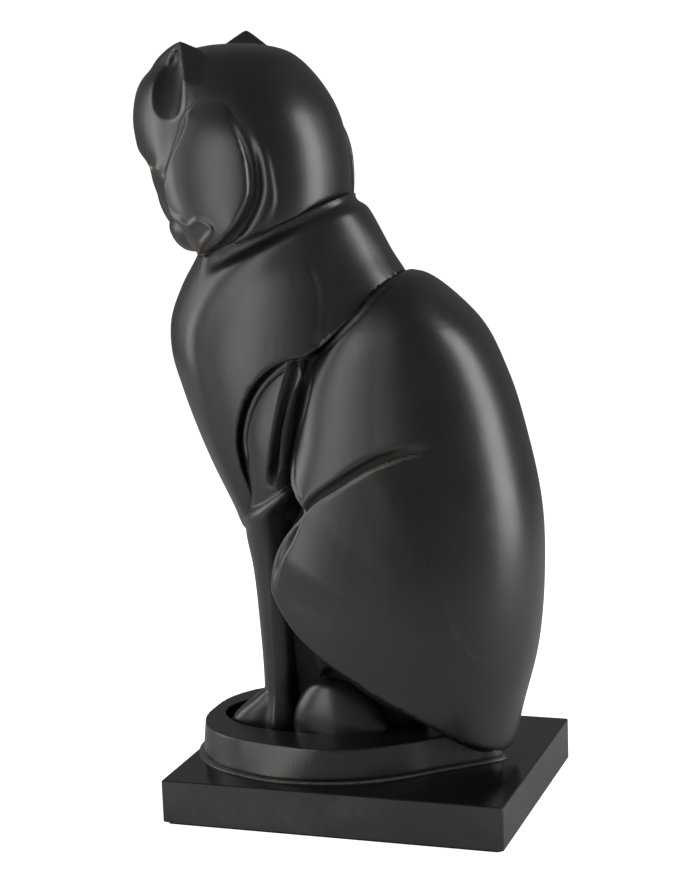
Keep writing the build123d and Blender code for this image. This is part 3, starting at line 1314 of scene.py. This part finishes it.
class Nodes:
    """A node tree that is built from expressions."""

    def __init__(self, tree: bpy.types.NodeTree) -> None:
        """Wraps a tree."""
        self.tree = tree

    def feed(self, socket: bpy.types.NodeSocket, value: "Value | float | Colour") -> None:
        """Links a value into a socket, or sets it there.

        Args:
            socket: the input.
            value: what it takes.
        """
        if isinstance(value, Value):
            self.tree.links.new(value.socket, socket)
        elif isinstance(value, tuple) and socket.type == "RGBA":
            socket.default_value = (*value, 1.0)
        else:
            socket.default_value = value

    def node(self, kind: str, settings: dict, inputs: dict) -> bpy.types.Node:
        """Adds a node.

        Args:
            kind: its type.
            settings: its own settings, made first.
            inputs: values or links of its sockets.

        Returns:
            The node.
        """
        made = self.tree.nodes.new(kind)
        for key, value in settings.items():
            setattr(made, key, value)
        for key, value in inputs.items():
            self.feed(made.inputs[key], value)
        return made

    def mix(self, share: Value, low: "Value | Colour", high: "Value | Colour") -> Value:
        """A colour from low to high by a share."""
        made = self.node("ShaderNodeMix", {"data_type": "RGBA"}, {0: share, 6: low, 7: high})
        return Value(self, made.outputs[2])

    def seen(self) -> Value:
        """1 for what the camera sees straight, 0 for light on its way elsewhere."""
        made = self.node("ShaderNodeLightPath", {}, {})
        return Value(self, made.outputs["Is Camera Ray"])


class Shade(Nodes):
    """A material built from expressions round one Principled shader."""

    def __init__(self, name: str, **constants: float | Colour) -> None:
        """Makes the material.

        Args:
            name: the material's name.
            constants: fixed inputs of the shader, underscores for spaces.
        """
        self.material = bpy.data.materials.new(name)
        self.material.use_nodes = True
        super().__init__(self.material.node_tree)
        self.shader = self.tree.nodes["Principled BSDF"]
        self.set(**constants)
        place = self.node("ShaderNodeTexCoord", {}, {})
        self.place = Value(self, place.outputs["Object"])

    def set(self, **inputs: "Value | float | Colour") -> None:
        """Feeds the shader's inputs, underscores for spaces."""
        for key, value in inputs.items():
            name = key.replace("_", " ").title().replace("Ior", "IOR")
            self.feed(self.shader.inputs[name], value)

    def noise(
        self, scale: float, detail: float = 4.0, stretch: tuple[float, float, float] = (1, 1, 1)
    ) -> Value:
        """Cloudy noise in the object's own space.

        Args:
            scale: clouds per metre.
            detail: how many finer layers lie on them.
            stretch: factor of each axis, below 1 to draw the clouds out along it.

        Returns:
            Noise from 0 to 1.
        """
        spot = self.node("ShaderNodeVectorMath", {"operation": "MULTIPLY"},
                         {0: self.place, 1: stretch})
        made = self.node("ShaderNodeTexNoise", {},
                         {"Vector": Value(self, spot.outputs[0]), "Scale": scale, "Detail": detail})
        return Value(self, made.outputs["Fac"])

    def attribute(self, name: str) -> Value:
        """A value stored on the piece's points."""
        made = self.node("ShaderNodeAttribute", {"attribute_name": name}, {})
        return Value(self, made.outputs["Fac"])

    def height(self) -> Value:
        """Height above the frame's origin, in metres."""
        made = self.node("ShaderNodeSeparateXYZ", {}, {"Vector": self.place})
        return Value(self, made.outputs["Z"])

    def bump(self, value: Value, depth: float) -> None:
        """Roughens the surface.

        Args:
            value: the relief, from 0 to 1.
            depth: its height in metres.
        """
        made = self.node("ShaderNodeBump", {}, {"Height": value, "Distance": depth, "Strength": 1.0})
        self.set(normal=Value(self, made.outputs["Normal"]))


@dataclass(frozen=True)
class Patina:
    """Hot black patina over bronze, paler on the crests and at abraded spots; the pale crests are partly
    abraded patina and partly a painted edge highlight.
    """

    dark: Colour = (0.0075, 0.0072, 0.0070)
    brown: Colour = (0.020, 0.014, 0.010)
    rubbed_and_highlight: Colour = (0.105, 0.097, 0.084)
    metal: Colour = (0.80, 0.56, 0.27)
    roughness: float = 0.36

    def make(self) -> bpy.types.Material:
        """Builds the material.

        Returns:
            The material, which reads the wear, crest and hollow of a skin's points.
        """
        shade = Shade("dark_bronze", ior=1.55)
        cloud = shade.noise(9.0, 5.0).ramp(0.42, 0.72)
        fine = shade.noise(140.0, 6.0, (1, 1, 0.35))
        wear_and_highlight, crest = shade.attribute("wear_and_highlight"), shade.attribute("crest")
        hollow = shade.attribute("hollow")
        # Pale tone from crests and abraded marks: partly abrasion of the patina, partly a painted edge
        # highlight.
        rub_and_highlight = (crest * 0.55 + wear_and_highlight * 0.5) * (0.35 + fine * 1.1)
        bare = (wear_and_highlight * (0.6 + fine * 0.8)).ramp(0.62, 0.85)
        tone = shade.mix(cloud * 0.6, self.dark, self.brown)
        tone = shade.mix(rub_and_highlight.ramp(0.05, 0.9), tone, self.rubbed_and_highlight)
        tone = shade.mix(bare, tone, self.metal)
        shade.set(
            base_color=tone,
            metallic=bare,
            roughness=self.roughness + (fine - 0.5) * 0.10 + (cloud - 0.5) * 0.06 + hollow * 0.45,
        )
        shade.bump(shade.noise(55.0, 5.0) + fine * 0.25, 0.00012)
        return shade.material


@dataclass(frozen=True)
class Stone:
    """Black stone: polished on top, honed on its sides."""

    polished: Colour = (0.006, 0.006, 0.0065)
    honed: Colour = (0.020, 0.020, 0.021)
    bloom: Colour = (0.040, 0.040, 0.041)

    def make(self, top: float) -> bpy.types.Material:
        """Builds the material.

        Args:
            top: height of the slab's top, in metres.

        Returns:
            The material.
        """
        shade = Shade("black_stone", ior=1.45)
        upper = shade.height().ramp(top - 0.0009, top - 0.0003)
        cloud, grain = shade.noise(28.0, 8.0), shade.noise(260.0, 4.0)
        side = shade.mix(cloud.ramp(0.3, 0.8) * (0.5 + grain), self.honed, self.bloom)
        shade.set(
            base_color=shade.mix(upper, side, self.polished),
            roughness=0.42 - upper * 0.26 + (cloud - 0.5) * 0.16,
        )
        shade.bump(cloud * 0.6 + grain * 0.4, 0.0001)
        return shade.material


@dataclass(frozen=True)
class Plain:
    """A finish of one tone with a fine grain."""

    name: str
    tone: Colour
    shadow: Colour
    metallic: float
    roughness: float
    grain: float
    specular: float = 0.5

    def make(self) -> bpy.types.Material:
        """Builds the material."""
        shade = Shade(self.name, metallic=self.metallic, specular_ior_level=self.specular)
        speck = shade.noise(self.grain, 4.0)
        shade.set(
            base_color=shade.mix(speck.ramp(0.3, 0.7), self.shadow, self.tone),
            roughness=self.roughness + (speck - 0.5) * 0.12,
        )
        shade.bump(speck, 0.00008)
        return shade.material


# A darker, duller copy of the bronze: painted shade for the hocks and belly under the thighs.
SHADED_BRONZE = Plain("shaded_bronze", (0.007, 0.0065, 0.006), (0.003, 0.003, 0.003), 0.0, 0.62, 60.0,
                    0.14)
RAW_BRONZE = Plain("raw_bronze", (0.42, 0.26, 0.12), (0.26, 0.15, 0.07), 1.0, 0.42, 180.0)
FELT = Plain("felt", (0.030, 0.032, 0.030), (0.012, 0.013, 0.012), 0.0, 0.92, 900.0)
ZINC = Plain("zinc_steel", (0.62, 0.62, 0.60), (0.45, 0.45, 0.44), 1.0, 0.36, 220.0)


# ---- stage ------------------------------------------------------------------------------


@dataclass(frozen=True)
class Camera:
    """The camera, low and behind the cat's left shoulder: angles in degrees, place in metres.

    azimuth and elevation say where it looks from, and roll turns it anticlockwise about its
    own axis. Its place is over the plinth's underside.
    """

    azimuth: float = 108.689
    elevation: float = 10.697
    roll: float = -2.054
    place: tuple[float, float, float] = (1.4049, 0.4678, 0.5328)
    sensor: float = 36.0
    lens: float = 90.48

    def make(self, lift: float) -> None:
        """Adds the camera to the scene and looks through it.

        Args:
            lift: height of the plinth's underside, in metres.
        """
        data = bpy.data.cameras.new("camera")
        data.sensor_width, data.lens = self.sensor, self.lens
        data.clip_start, data.clip_end = 0.05, 50.0
        camera = new_object("camera", data)
        turn = (
            Matrix.Rotation(math.radians(self.azimuth), 4, "Z")
            @ Matrix.Rotation(math.radians(90.0 - self.elevation), 4, "X")
            @ Matrix.Rotation(math.radians(self.roll), 4, "Z")
        )
        camera.matrix_world = Matrix.Translation(self.place) @ turn
        camera.location.z += lift
        bpy.context.scene.camera = camera


@dataclass(frozen=True)
class Lamp:
    """An upright softbox: where it stands round the statuette, its size and its brightness."""

    name: str
    azimuth: float
    middle: float
    distance: float
    width: float
    height: float
    radiance: float

    def make(self) -> None:
        """Adds the softbox, facing the statuette's axis."""
        turn = math.radians(self.azimuth)
        way = Vector((math.sin(turn), -math.cos(turn), 0.0))
        data = bpy.data.lights.new(self.name, "AREA")
        data.shape = "RECTANGLE"
        data.size, data.size_y = self.width, self.height
        data.energy = self.radiance * math.pi * self.width * self.height
        lamp = new_object(self.name, data)
        lamp.location = way * self.distance + Vector((0.0, 0.0, self.middle))
        lamp.rotation_mode = "QUATERNION"
        lamp.rotation_quaternion = (-way).to_track_quat("-Z", "Y")


LAMPS = (
    Lamp("key", 55.0, 0.46, 0.80, 0.40, 0.90, 3.0),
    Lamp("rim", 184.0, 0.76, 1.25, 0.62, 1.50, 6.6),
    Lamp("front", 8.0, 0.70, 1.50, 0.60, 1.30, 3.8),
)


@dataclass(frozen=True)
class Stage:
    """Plain floor and white surroundings.

    floor is the floor's own colour, glow what the camera sees on top of it, ambient the light
    that comes from all round, and backdrop what the camera sees of it.
    """

    reach: float = 8.0
    floor: Colour = (0.82, 0.82, 0.82)
    glow: Colour = (0.93, 0.93, 0.93)
    ambient: Colour = (0.18, 0.18, 0.18)
    backdrop: Colour = (1.05, 1.05, 1.05)

    def make(self) -> None:
        """Adds the floor, the world and the lamps."""
        bm = bmesh.new()
        bmesh.ops.create_grid(bm, x_segments=4, y_segments=4, size=self.reach)
        floor = new_object("floor", mesh_from(bm, "floor"))
        shade = Shade("floor", base_color=self.floor, roughness=0.95, emission_strength=1.0)
        shade.set(emission_color=shade.mix(shade.seen(), (0.0, 0.0, 0.0), self.glow))
        floor.data.materials.append(shade.material)
        world = bpy.data.worlds.new("world")
        bpy.context.scene.world = world
        world.use_nodes = True
        sky = Nodes(world.node_tree)
        ground = world.node_tree.nodes["Background"]
        sky.feed(ground.inputs["Strength"], 1.0)
        sky.feed(ground.inputs["Color"], sky.mix(sky.seen(), self.ambient, self.backdrop))
        for lamp in LAMPS:
            lamp.make()


def dress(top: float) -> None:
    """Gives every piece its finish.

    Args:
        top: level of the plinth's top, in metres.
    """
    bronze = Patina().make()
    stone = Stone().make(top)
    raw, felt, zinc = RAW_BRONZE.make(), FELT.make(), ZINC.make()
    finishes = {
        "plinth": stone, "base_felt": felt, "floor_casting": bronze, "mounting_bosses": raw,
        "neck_sleeve": raw, "chest_sleeve": raw, "mounting_bolts": zinc, "bolt_washers": zinc,
    }
    for name, material in finishes.items():
        node = bpy.data.objects[name]
        node.data.materials.clear()
        node.data.materials.append(material)
    # The hocks and belly take the darker, duller copy of the bronze as painted shade.
    shaded = SHADED_BRONZE.make()
    for piece in bpy.data.objects:
        if piece.name.endswith("_skin"):
            piece.data.materials.append(shaded if piece.name == "hock_skin" else bronze)


def main() -> None:
    """Builds the statuette, dresses it and sets the stage."""
    logging.basicConfig(level=logging.INFO, format="%(message)s")
    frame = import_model()
    LOG.info("frame: %d nodes", len(frame["nodes"]))
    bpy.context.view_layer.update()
    underside, plinth_top = (corner.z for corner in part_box("plinth"))
    parts = [Haunch(plinth_top), Breast(plinth_top), Head(plinth_top), Tail(plinth_top)]
    parts += [Forelimb(plinth_top, left) for left in (True, False)]
    parts += [HindPaw(plinth_top, left) for left in (True, False)]
    for part in parts:
        for piece in part.build():
            LOG.info("%s: %d triangles", piece.name, triangles(piece))
    dress(plinth_top)
    Stage().make()
    Camera().make(underside)
    bpy.context.scene.view_settings.view_transform = "Standard"


if __name__ == "__main__":
    main()
